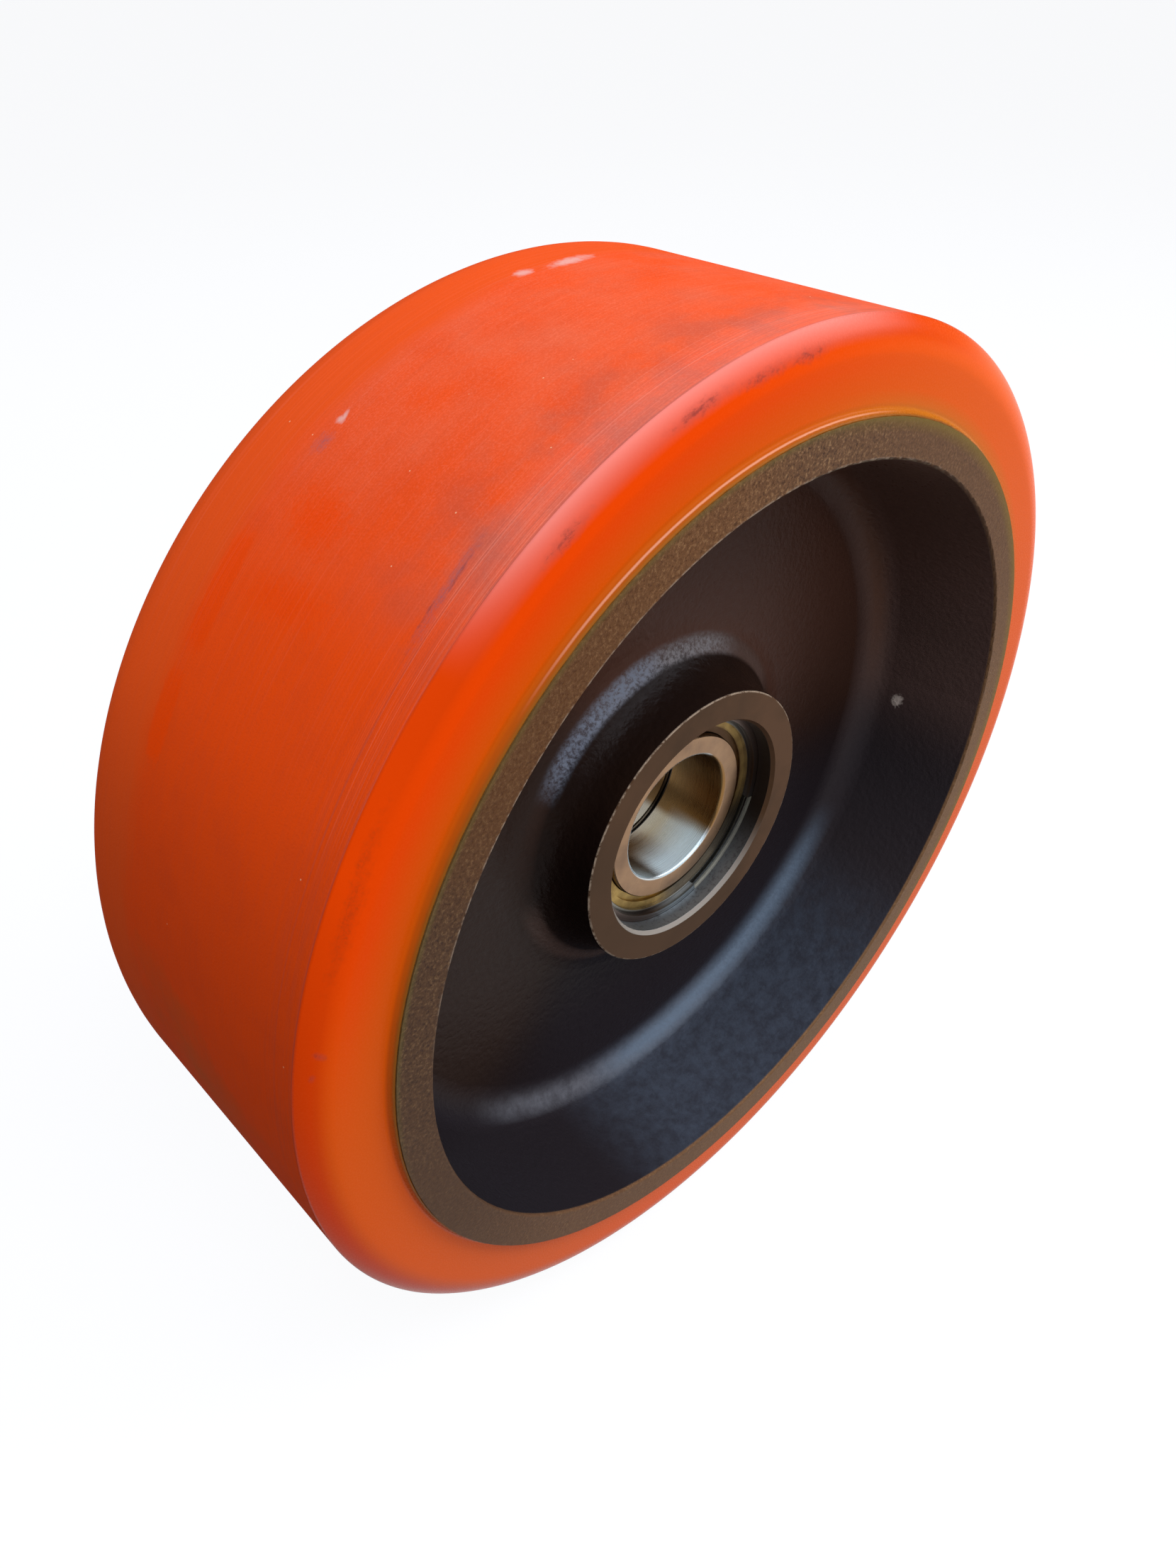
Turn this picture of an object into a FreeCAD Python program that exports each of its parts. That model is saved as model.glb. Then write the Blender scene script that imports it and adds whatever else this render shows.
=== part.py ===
import FreeCAD, Part
import math
import os
import Sketcher

# A cushion-tyred load wheel for a lift truck, in millimetres.
# It turns about the Y axis, its middle plane is XZ, and its front looks along -Y.
# Radii are from the turning axis, and half widths are from the middle plane.
sizes = (
    ("tread_radius", 142.5),
    ("tread_half_width", 49.5),
    ("tread_thickness", 20.5),
    ("front_shoulder_radius", 11.0),
    ("front_shoulder_width", 3.7),
    ("rear_shoulder_radius", 14.0),
    ("lip_foot", 1.2),
    ("lip_tip", 0.3),
    ("lip_setback", 0.4),
    ("rim_overhang", 2.5),
    ("rim_thickness", 9.7),
    ("rim_draft", 3.8),
    ("rim_root_fillet", 10.0),
    ("rim_edge_round", 0.7),
    ("web_half_thickness", 11.0),
    ("hub_mouth_length", 5.9),
    ("hub_wall", 9.2),
    ("hub_draft", 1.8),
    ("hub_root_fillet", 14.0),
    ("hub_fillet_limit", 0.85),
    ("hub_edge_break", 0.3),
    ("seat_chamfer_depth", 0.8),
    ("seat_chamfer_length", 1.2),
    ("snap_ring_thickness", 1.5),
    ("snap_ring_reach", 2.0),
    ("snap_groove_depth", 1.5),
    ("snap_groove_play", 0.1),
    ("snap_ring_gap_angle", 59.0),
    ("snap_ring_gap_turn", 46.0),
    ("axle_bore_radius", 20.0),
    ("bearing_width", 21.0),
    ("ball_radius", 3.969),
    ("ball_count", 12),
    ("ball_clearance", 0.1),
    ("race_floor", 2.931),
    ("race_relief", 0.231),
    ("inner_land_drop", 0.7),
    ("outer_land_rise", 2.75),
    ("bore_corner", 1.1),
    ("ring_corner", 1.0),
    ("ring_edge_break", 0.3),
    ("shield_seat_height", 1.05),
    ("shield_seat_depth", 2.0),
    ("shield_sheet", 0.8),
    ("shield_crank", 0.9),
    ("shield_clearance", 0.3),
    ("shield_crank_clearance", 0.25),
    ("cage_sheet", 0.8),
    ("cage_clearance", 0.4),
    ("pocket_clearance", 0.15),
    ("rivet_radius", 0.5),
    ("rivet_head_radius", 0.95),
    ("rivet_head_height", 0.5),
)

# The rim carries the tread, and stands out past it on each side.
rim_radius = "(size.tread_radius - size.tread_thickness)"
rim_half_width = "(size.tread_half_width + size.rim_overhang)"
rim_mouth_radius = "(%s - size.rim_thickness)" % rim_radius
rim_root_radius = "(%s - size.rim_draft)" % rim_mouth_radius

# A bearing is built up from the axle: inner race, ball, outer race, then its seat in the hub.
ball_pitch = "(size.axle_bore_radius + size.race_floor + size.ball_clearance + size.ball_radius)"
seat_radius = "(%s + size.ball_radius + size.ball_clearance + size.race_floor)" % ball_pitch
race_radius = "(size.ball_radius + size.race_relief)"
inner_land = "(%s - size.inner_land_drop)" % ball_pitch
outer_land = "(%s + size.outer_land_rise)" % ball_pitch
shield_seat_radius = "(%s + size.shield_seat_height)" % outer_land
middle = "(size.bearing_width / 2)"
ring_ends = ["0", "size.bearing_width"]

# The hub holds a bearing and its snap ring on each side of the middle plane.
groove_radius = "(%s + size.snap_groove_depth)" % seat_radius
groove_end = "(size.bearing_width + size.snap_ring_thickness + size.snap_groove_play)"
hub_half_length = "(%s + size.hub_mouth_length)" % groove_end
hub_face_radius = "(%s + size.hub_wall)" % seat_radius
hub_root_radius = "(%s + size.hub_draft)" % hub_face_radius

# The cage runs between the lands of the two rings.
cage_inside = "(%s + size.cage_clearance)" % inner_land
cage_outside = "(%s - size.cage_clearance)" % outer_land
rivet_circle = "((%s + %s) / 2)" % (cage_inside, cage_outside)

doc = FreeCAD.newDocument("load_wheel")
sheet = doc.addObject("Spreadsheet::Sheet", "size")
for row, (word, number) in enumerate(sizes, start=1):
    sheet.set("A%d" % row, word)
    sheet.set("B%d" % row, str(number))
    sheet.setAlias("B%d" % row, word)
doc.recompute()

full_turn = 360.0
least_cut = 1.0
close_enough = 1e-4
along_y = FreeCAD.Vector(0, 1, 0)
along_z = FreeCAD.Vector(0, 0, 1)
faces_rear = FreeCAD.Placement()
faces_front = FreeCAD.Placement(FreeCAD.Vector(), FreeCAD.Rotation(along_z, 180))
sides = {"front": faces_front, "rear": faces_rear}


def value(text):
    # The number that a formula of the sheet gives.
    return float(sheet.evalExpression(text))


def turned_place(side, angle):
    # The place of a piece of one side that is first turned about the axis.
    turn = FreeCAD.Rotation(along_y, value(angle))
    return sides[side].multiply(FreeCAD.Placement(FreeCAD.Vector(), turn))


def new_body(label, placement):
    body = doc.addObject("PartDesign::Body", label)
    body.Label = label
    body.Placement = placement
    return body


def origin_feature(body, role):
    return [part for part in body.Origin.OriginFeatures if part.Role == role][0]


def new_sketch(body, name):
    # A sketch in the plane of the turning axis: across is the radius, along is the axis.
    sketch = body.newObject("Sketcher::SketchObject", name)
    sketch.AttachmentSupport = [(origin_feature(body, "XY_Plane"), "")]
    sketch.MapMode = "FlatFace"
    return sketch


def hold(sketch, kind, places, formula):
    # Adds a dimension to a sketch and ties it to a formula of the sheet.
    index = sketch.addConstraint(Sketcher.Constraint(kind, *places, value(formula)))
    sketch.setExpression("Constraints[%d]" % index, formula)


def arc_between(start, end, radius):
    # The short arc that runs counter-clockwise from start to end.
    chord = end - start
    rise = math.sqrt(radius ** 2 - chord.Length ** 2 / 4)
    left = FreeCAD.Vector(-chord.y, chord.x, 0).normalize()
    centre = (start + end) * 0.5 + left * rise
    first = math.atan2(start.y - centre.y, start.x - centre.x)
    last = math.atan2(end.y - centre.y, end.x - centre.x)
    return Part.ArcOfCircle(Part.Circle(centre, along_z, radius), first, last)


def outline(body, name, corners):
    # A closed outline of (across, along) corners, in counter-clockwise order.
    # A third entry on a corner is the radius of an arc from it to the next corner.
    sketch = new_sketch(body, name)
    spots = [FreeCAD.Vector(value(corner[0]), value(corner[1]), 0) for corner in corners]
    count = len(corners)
    for index, corner in enumerate(corners):
        start = spots[index]
        end = spots[(index + 1) % count]
        if len(corner) == 3:
            sketch.addGeometry(arc_between(start, end, value(corner[2])), False)
        else:
            sketch.addGeometry(Part.LineSegment(start, end), False)
    for index, corner in enumerate(corners):
        sketch.addConstraint(Sketcher.Constraint("Coincident", index, 2, (index + 1) % count, 1))
        hold(sketch, "DistanceX", (-1, 1, index, 1), corner[0])
        hold(sketch, "DistanceY", (-1, 1, index, 1), corner[1])
        if len(corner) == 3:
            hold(sketch, "Radius", (index,), corner[2])
    return sketch


def disc(body, name, across, along, radius):
    sketch = new_sketch(body, name)
    centre = FreeCAD.Vector(value(across), value(along), 0)
    sketch.addGeometry(Part.Circle(centre, along_z, value(radius)), False)
    hold(sketch, "DistanceX", (-1, 1, 0, 3), across)
    hold(sketch, "DistanceY", (-1, 1, 0, 3), along)
    hold(sketch, "Radius", (0,), radius)
    return sketch


def turned(body, name, sketch, kind="PartDesign::Revolution"):
    # Turns a sketch right round the axis, as a solid or as a groove.
    before = body.Shape.Volume if body.Tip else 0.0
    feature = body.newObject(kind, name)
    feature.Profile = sketch
    feature.ReferenceAxis = (sketch, ["V_Axis"])
    feature.Angle = full_turn
    doc.recompute()
    if abs(body.Shape.Volume - before) < least_cut:
        raise RuntimeError("%s changes nothing" % name)
    return feature


def ring_edges(shape, radius, heights):
    # The names of the round edges of one radius at the given heights along the axis.
    names = []
    for index, edge in enumerate(shape.Edges, start=1):
        curve = edge.Curve
        if not isinstance(curve, Part.Circle) or abs(curve.Radius - radius) > close_enough:
            continue
        if min(abs(curve.Center.y - height) for height in heights) < close_enough:
            names.append("Edge%d" % index)
    return names


def dressed(body, name, kind, radius, heights, size_name, formula):
    # Rounds or breaks the round edges of one radius.
    base = body.Tip
    names = ring_edges(base.Shape, value(radius), [value(height) for height in heights])
    if len(names) != len(heights):
        raise RuntimeError("%s finds %d edges" % (name, len(names)))
    feature = body.newObject(kind, name)
    feature.Base = (base, names)
    feature.setExpression(size_name, formula)
    doc.recompute()
    return feature


def rounded(body, name, radius, heights, formula):
    return dressed(body, name, "PartDesign::Fillet", radius, heights, "Radius", formula)


def broken(body, name, radius, heights, formula):
    return dressed(body, name, "PartDesign::Chamfer", radius, heights, "Size", formula)


def both(formula):
    return [formula, "-(%s)" % formula]


# The cast-on polyurethane tread, bonded to the rim.
# Its tread is turned to size, which leaves a crease at the front shoulder.
# A thin lip of it climbs the edge of the rim on each side.
def polyurethane_tread():
    body = new_body("polyurethane_tread", faces_rear)
    lip_end = rim_half_width + " - size.lip_setback"
    lip_tip = rim_radius + " + size.lip_tip"
    lip_foot = rim_radius + " + size.lip_foot"
    side = "size.tread_half_width"
    drop = "size.front_shoulder_radius - size.front_shoulder_width"
    shoulder_start = "size.tread_radius - sqrt(size.front_shoulder_radius ^ 2 - (%s) ^ 2)" % drop
    corners = [
        (rim_radius, "-(%s)" % lip_end),
        (lip_tip, "-(%s)" % lip_end),
        (lip_foot, "-" + side),
        (shoulder_start, "-" + side, "size.front_shoulder_radius"),
        ("size.tread_radius", "size.front_shoulder_width - " + side),
        ("size.tread_radius", side + " - size.rear_shoulder_radius", "size.rear_shoulder_radius"),
        ("size.tread_radius - size.rear_shoulder_radius", side),
        (lip_foot, side),
        (lip_tip, lip_end),
        (rim_radius, lip_end),
    ]
    turned(body, "tread_turning", outline(body, "tread_outline", corners))
    return body


# The cast core: rim, dished web and hub in one piece, the same on both sides.
# The rim faces, the hub faces and the bearing seat are machined.
def cast_wheel_core():
    body = new_body("cast_wheel_core", faces_rear)
    corners = [
        (seat_radius, "0"),
        (rim_radius, "0"),
        (rim_radius, rim_half_width),
        (rim_mouth_radius, rim_half_width),
        (rim_root_radius, "size.web_half_thickness"),
        (hub_root_radius, "size.web_half_thickness"),
        (hub_face_radius, hub_half_length),
        (seat_radius + " + size.seat_chamfer_depth", hub_half_length),
        (seat_radius, hub_half_length + " - size.seat_chamfer_length"),
        (seat_radius, groove_end),
        (groove_radius, groove_end),
        (groove_radius, "size.bearing_width"),
        (seat_radius, "size.bearing_width"),
    ]
    half = turned(body, "half_core", outline(body, "half_core_outline", corners))
    mirror = body.newObject("PartDesign::Mirrored", "whole_core")
    mirror.Originals = [half]
    mirror.MirrorPlane = (origin_feature(body, "XZ_Plane"), [""])
    body.Tip = mirror
    doc.recompute()
    web_faces = both("size.web_half_thickness")
    rounded(body, "rim_root_round", rim_root_radius, web_faces, "size.rim_root_fillet")
    hub_rise = hub_half_length + " - size.web_half_thickness"
    hub_fillet = "min(size.hub_root_fillet; (%s) * size.hub_fillet_limit)" % hub_rise
    rounded(body, "hub_root_round", hub_root_radius, web_faces, hub_fillet)
    rounded(body, "rim_mouth_round", rim_mouth_radius, both(rim_half_width), "size.rim_edge_round")
    broken(body, "hub_edge_break", hub_face_radius, both(hub_half_length), "size.hub_edge_break")
    return body


# The pieces of a bearing are drawn for the rear, from the middle plane outwards.
# The front ones are the same, turned half round the Z axis.
def inner_ring(side):
    body = new_body(side + "_inner_ring", sides[side])
    corners = [
        ("size.axle_bore_radius", "0"),
        (inner_land, "0"),
        (inner_land, "size.bearing_width"),
        ("size.axle_bore_radius", "size.bearing_width"),
    ]
    turned(body, side + "_inner_blank", outline(body, side + "_inner_outline", corners))
    race_centre = "size.axle_bore_radius + size.race_floor + " + race_radius
    race = disc(body, side + "_inner_race_outline", race_centre, middle, race_radius)
    turned(body, side + "_inner_race", race, "PartDesign::Groove")
    rounded(body, side + "_bore_round", "size.axle_bore_radius", ring_ends, "size.bore_corner")
    broken(body, side + "_inner_break", inner_land, ring_ends, "size.ring_edge_break")
    return body


def outer_ring(side):
    body = new_body(side + "_outer_ring", sides[side])
    seat_end = "size.bearing_width - size.shield_seat_depth"
    corners = [
        (shield_seat_radius, "0"),
        (seat_radius, "0"),
        (seat_radius, "size.bearing_width"),
        (shield_seat_radius, "size.bearing_width"),
        (shield_seat_radius, seat_end),
        (outer_land, seat_end),
        (outer_land, "size.shield_seat_depth"),
        (shield_seat_radius, "size.shield_seat_depth"),
    ]
    turned(body, side + "_outer_blank", outline(body, side + "_outer_outline", corners))
    race_centre = "%s - size.race_floor - %s" % (seat_radius, race_radius)
    race = disc(body, side + "_outer_race_outline", race_centre, middle, race_radius)
    turned(body, side + "_outer_race", race, "PartDesign::Groove")
    rounded(body, side + "_seat_round", seat_radius, ring_ends, "size.ring_corner")
    return body


# A pressed shield on the step of the outer ring, cranked inwards near the inner ring.
def shield(side, end):
    label = "%s_%s_shield" % (side, end)
    body = new_body(label, sides[side])
    rim_front = "size.shield_seat_depth - size.shield_sheet"
    inner_front = rim_front + " + size.shield_crank"
    inner_back = inner_front + " + size.shield_sheet"
    inner_radius = inner_land + " + size.shield_clearance"
    crank_back = outer_land + " - size.shield_crank_clearance"
    crank_front = crank_back + " - size.shield_sheet"
    section = [
        (inner_radius, inner_front),
        (crank_front, inner_front),
        (crank_front, rim_front),
        (shield_seat_radius, rim_front),
        (shield_seat_radius, "size.shield_seat_depth"),
        (crank_back, "size.shield_seat_depth"),
        (crank_back, inner_back),
        (inner_radius, inner_back),
    ]
    if end == "outer":
        section = [(across, "size.bearing_width - (%s)" % depth) for across, depth in section]
    turned(body, label + "_pressing", outline(body, label + "_outline", section))
    return body


# A spring ring of flat section, sprung into the groove of the hub, with its gap low on the right.
def snap_ring(side):
    body = new_body(side + "_snap_ring", turned_place(side, "-size.snap_ring_gap_turn"))
    inside = seat_radius + " - size.snap_ring_reach"
    start = "size.bearing_width"
    end = "size.bearing_width + size.snap_ring_thickness"
    corners = [(inside, start), (groove_radius, start), (groove_radius, end), (inside, end)]
    ring = turned(body, side + "_ring_bend", outline(body, side + "_ring_outline", corners))
    ring.Midplane = True
    ring.setExpression("Angle", "360 - size.snap_ring_gap_angle")
    return body


def ring_of(body, name, feature):
    # Repeats a feature once for each ball, right round the axis.
    pattern = body.newObject("PartDesign::PolarPattern", name)
    pattern.Originals = [feature]
    pattern.Axis = (origin_feature(body, "Y_Axis"), [""])
    pattern.Angle = full_turn
    pattern.setExpression("Occurrences", "size.ball_count")
    body.Tip = pattern
    doc.recompute()
    return pattern


def spun(body, name, corners, centre):
    # Turns an outline about a line along the axis at the radius of its own centre.
    sketch = outline(body, name + "_outline", corners)
    foot = FreeCAD.Vector(value(centre), 0, 0)
    line = sketch.addGeometry(Part.LineSegment(foot, foot + along_y), True)
    hold(sketch, "DistanceX", (-1, 1, line, 1), centre)
    hold(sketch, "DistanceX", (-1, 1, line, 2), centre)
    feature = body.newObject("PartDesign::Revolution", name)
    feature.Profile = sketch
    feature.ReferenceAxis = (sketch, ["Axis0"])
    feature.Angle = full_turn
    doc.recompute()
    return feature


def half_disc(centre, radius):
    # Two quarter arcs and the line that closes them.
    top = "%s + %s" % (middle, radius)
    bottom = "%s - (%s)" % (middle, radius)
    return [
        (centre, bottom, radius),
        ("%s + %s" % (centre, radius), middle, radius),
        (centre, top),
    ]


def balls(side):
    body = new_body(side + "_balls", sides[side])
    body.AllowCompound = True
    ball = spun(body, side + "_ball", half_disc(ball_pitch, "size.ball_radius"), ball_pitch)
    ring_of(body, side + "_ball_ring", ball)
    return body


def axial_cylinder(name, radius, length, heading):
    # A cylinder along the axis, from the middle of the bearing to one of its ends.
    cylinder = doc.addObject("Part::Cylinder", name)
    cylinder.setExpression("Radius", radius)
    cylinder.setExpression("Height", length)
    cylinder.Placement = FreeCAD.Placement(FreeCAD.Vector(), FreeCAD.Rotation(along_z, heading))
    cylinder.setExpression("Placement.Base.y", middle)
    return cylinder


def round_axis(feature, radius, share):
    # Places a feature on a circle round the axis; share counts the steps from ball to ball.
    step = "(360 deg / size.ball_count * %s)" % share
    feature.setExpression("Placement.Base.x", "(%s) * cos(%s)" % (radius, step))
    feature.setExpression("Placement.Base.z", "-(%s) * sin(%s)" % (radius, step))


def boolean(name, kind, base, tool):
    feature = doc.addObject(kind, name)
    feature.Base = base
    feature.Tool = tool
    feature.Refine = True
    return feature


def fused(name, pieces):
    feature = doc.addObject("Part::MultiFuse", name)
    feature.Shapes = pieces
    return feature


# One pressed half of the cage: a flat ring with a round pocket for each ball.
# The poles of each sphere point in and out, clear of the ring, and its seam is on the other half.
def cage_half(side, end):
    label = "%s_cage_%s_half" % (side, end)
    heading = {"outer": along_y, "inner": -along_y}[end]
    count = int(value("size.ball_count"))
    pocket = "(size.ball_radius + size.pocket_clearance)"
    crown = "(%s + size.cage_sheet)" % pocket
    crowns = [axial_cylinder(label + "_flat", cage_outside, "size.cage_sheet", heading)]
    pockets = []
    for index in range(count):
        ball_angle = 2 * math.pi * index / count
        outwards = FreeCAD.Vector(math.cos(ball_angle), 0, -math.sin(ball_angle))
        poles = FreeCAD.Rotation(-heading, heading.cross(outwards), outwards, "ZXY")
        for family, radius in ((crowns, crown), (pockets, pocket)):
            sphere = doc.addObject("Part::Sphere", label + "_sphere")
            sphere.Placement = FreeCAD.Placement(FreeCAD.Vector(), poles)
            sphere.setExpression("Radius", radius)
            sphere.setExpression("Placement.Base.y", middle)
            round_axis(sphere, ball_pitch, index)
            family.append(sphere)
        hole = axial_cylinder(label + "_hole", "size.rivet_radius", crown, heading)
        round_axis(hole, rivet_circle, index + 0.5)
        pockets.append(hole)
    outside = axial_cylinder(label + "_outside", cage_outside, crown, heading)
    inside = axial_cylinder(label + "_inside", cage_inside, crown, heading)
    band = boolean(label + "_band", "Part::Cut", outside, inside)
    pressed = boolean(label + "_pressed", "Part::Common", fused(label + "_crowns", crowns), band)
    half = boolean(label, "Part::Cut", pressed, fused(label + "_pockets", pockets))
    half.Label = label
    half.Placement = sides[side]
    doc.recompute()
    return half


# The headed rivets that hold the two halves of a cage together, midway between the balls.
def cage_rivets(side):
    body = new_body(side + "_cage_rivets", turned_place(side, "180 / size.ball_count"))
    body.AllowCompound = True
    shank = rivet_circle + " + size.rivet_radius"
    head = rivet_circle + " + size.rivet_head_radius"
    low = middle + " - size.cage_sheet"
    high = middle + " + size.cage_sheet"
    corners = [
        (rivet_circle, low + " - size.rivet_head_height"),
        (head, low + " - size.rivet_head_height"),
        (head, low),
        (shank, low),
        (shank, high),
        (head, high),
        (head, high + " + size.rivet_head_height"),
        (rivet_circle, high + " + size.rivet_head_height"),
    ]
    rivet = spun(body, side + "_rivet", corners, rivet_circle)
    ring_of(body, side + "_rivet_ring", rivet)
    return body


pieces = [polyurethane_tread(), cast_wheel_core()]
for side in sides:
    pieces += [inner_ring(side), outer_ring(side), balls(side)]
    pieces += [cage_half(side, "outer"), cage_half(side, "inner"), cage_rivets(side)]
    pieces += [shield(side, "outer"), shield(side, "inner"), snap_ring(side)]
doc.recompute()

for part in doc.Objects:
    if "Invalid" in part.State or "Error" in part.State:
        raise RuntimeError("%s is %s" % (part.Label, part.State))
for piece in pieces:
    if piece.Shape.isNull() or not piece.Shape.isValid():
        raise RuntimeError("%s has no valid shape" % piece.Label)

os.makedirs("parts", exist_ok=True)
for piece in pieces:
    piece.Shape.exportStep("parts/%s.step" % piece.Label)
    print(piece.Label, len(piece.Shape.Solids), round(piece.Shape.Volume, 1))
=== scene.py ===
import math
import bpy
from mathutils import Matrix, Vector, noise


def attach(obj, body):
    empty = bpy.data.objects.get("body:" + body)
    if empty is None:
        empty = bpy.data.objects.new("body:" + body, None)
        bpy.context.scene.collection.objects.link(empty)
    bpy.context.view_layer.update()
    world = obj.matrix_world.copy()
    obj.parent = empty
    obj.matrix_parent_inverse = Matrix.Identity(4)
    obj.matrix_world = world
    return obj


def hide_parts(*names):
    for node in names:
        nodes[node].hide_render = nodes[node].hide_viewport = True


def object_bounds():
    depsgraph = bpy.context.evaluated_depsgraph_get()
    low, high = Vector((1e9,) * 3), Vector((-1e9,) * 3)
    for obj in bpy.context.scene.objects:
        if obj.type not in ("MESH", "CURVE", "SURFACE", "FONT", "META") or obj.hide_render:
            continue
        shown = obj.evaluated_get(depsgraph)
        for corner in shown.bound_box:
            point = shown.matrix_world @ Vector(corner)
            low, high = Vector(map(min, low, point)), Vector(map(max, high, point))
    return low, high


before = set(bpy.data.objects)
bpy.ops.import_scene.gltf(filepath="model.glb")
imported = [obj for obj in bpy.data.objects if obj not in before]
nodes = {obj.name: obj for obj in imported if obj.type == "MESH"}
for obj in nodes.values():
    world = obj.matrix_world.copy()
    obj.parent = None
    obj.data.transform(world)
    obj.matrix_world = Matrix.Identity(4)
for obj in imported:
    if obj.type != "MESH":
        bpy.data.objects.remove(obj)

cadLow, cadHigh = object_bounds()
mm = 0.001
sides = ("front", "rear")
print("frame loaded:", len(nodes), "nodes")


def hexLinear(text):  # sRGB hex to linear RGBA
    channels = [int(text[i:i + 2], 16) / 255 for i in (0, 2, 4)]
    linear = [c / 12.92 if c <= 0.04045 else ((c + 0.055) / 1.055) ** 2.4 for c in channels]
    return (*linear, 1.0)


def addNode(tree, kind, inputs=None, stops=None, **settings):  # one node: settings, values and links, ramp stops
    made = tree.nodes.new("ShaderNode" + kind)
    for name, value in settings.items():
        setattr(made, name, value)
    for key, value in (inputs or {}).items():
        if isinstance(value, bpy.types.Node):
            value = next(socket for socket in value.outputs if socket.enabled)
        if isinstance(value, bpy.types.NodeSocket):
            tree.links.new(value, made.inputs[key])
        elif isinstance(value, str):
            made.inputs[key].default_value = hexLinear(value)
        else:
            made.inputs[key].default_value = value
    if stops:
        elements = made.color_ramp.elements
        elements.remove(elements[1])
        elements[0].position, elements[0].color = stops[0][0], hexLinear(stops[0][1])
        for place, tone in stops[1:]:
            elements.new(place).color = hexLinear(tone)
    return made


def newMaterial(name):
    material = bpy.data.materials.new(name)
    material.use_nodes = True
    tree = material.node_tree
    tree.nodes.clear()
    return material, tree


def finishMaterial(tree, inputs):  # the one shader that every finish ends in
    shader = addNode(tree, "BsdfPrincipled", inputs)
    addNode(tree, "OutputMaterial", {"Surface": shader})


def sector(tree, ring, middle, full, fade):  # 1 within some degrees round from a middle, falling to 0
    turn = math.radians(middle)
    near = addNode(tree, "VectorMath", {0: ring, 1: (math.cos(turn), 0, math.sin(turn))}, operation="DOT_PRODUCT")
    return addNode(tree, "MapRange", {"Value": near.outputs["Value"], "From Min": math.cos(math.radians(fade)),
                                      "From Max": math.cos(math.radians(full))}, interpolation_type="SMOOTHSTEP")


def markShare(tree, shares, marks):  # 1 on a few marks with torn edges, 0 beside them
    nearest = None
    for degrees, along, radius, length, width, slant in marks["at"]:
        turn = math.radians(degrees)
        centre = (radius * math.cos(turn), along, radius * math.sin(turn))
        local = addNode(tree, "Mapping", {"Vector": shares["point"], "Location": centre,
                                          "Rotation": (math.radians(slant), -turn, 0),
                                          "Scale": (marks["deep"], width / 2, length / 2)}, vector_type="TEXTURE")
        if marks.get("square"):
            local = addNode(tree, "VectorMath", {0: local, 1: local}, operation="MULTIPLY")
        reach = addNode(tree, "VectorMath", {0: local}, operation="LENGTH")
        nearest = reach if nearest is None else addNode(tree, "Math", {0: nearest, 1: reach}, operation="MINIMUM")
    pattern, torn = marks["torn"]
    nearest = addNode(tree, "Math", {0: shares[pattern], 1: torn, 2: nearest}, operation="MULTIPLY_ADD")
    outer, inner = marks["fade"]
    return addNode(tree, "MapRange", {"Value": nearest, "From Min": outer, "From Max": inner})


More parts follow.
